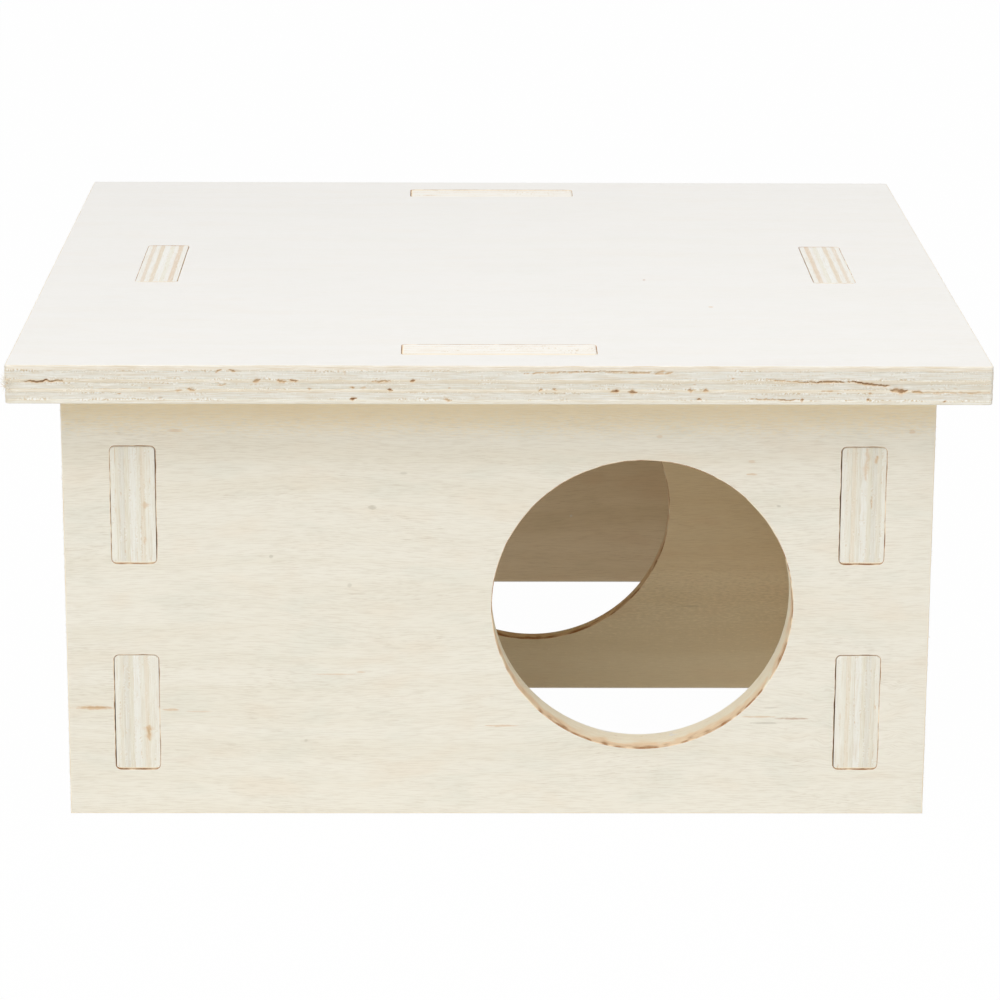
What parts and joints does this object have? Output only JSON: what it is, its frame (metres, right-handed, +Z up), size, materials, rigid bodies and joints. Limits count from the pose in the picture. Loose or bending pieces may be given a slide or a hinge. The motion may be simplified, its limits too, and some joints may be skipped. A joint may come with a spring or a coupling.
{
  "type": "hamster house",
  "caption": "Plug-together plywood shelter for a hamster: walls with through tabs, a round entrance, an inner partition with a doorway and a flat lift-off roof.",
  "frame": {"origin": "on the ground under the middle of the roof", "axes": "+Z up from the ground to the roof, the wall with the entrance faces -Y, +X to the right as seen from the front"},
  "size_m": [0.2, 0.2, 0.0995],
  "materials": {
    "wall_plywood": "bare sanded plywood",
    "roof_plywood": "bare sanded plywood"
  },
  "bodies": {
    "walls": {"front_wall": "wall_plywood", "back_wall": "wall_plywood", "left_wall": "wall_plywood", "right_wall": "wall_plywood", "partition": "wall_plywood"},
    "roof": {"roof": "roof_plywood"}
  },
  "joints": [
    {"name": "roof_lift", "type": "slide", "parent": "walls", "child": "roof", "axis": [0, 0, 1], "range_m": [0, 0.12]}
  ]
}
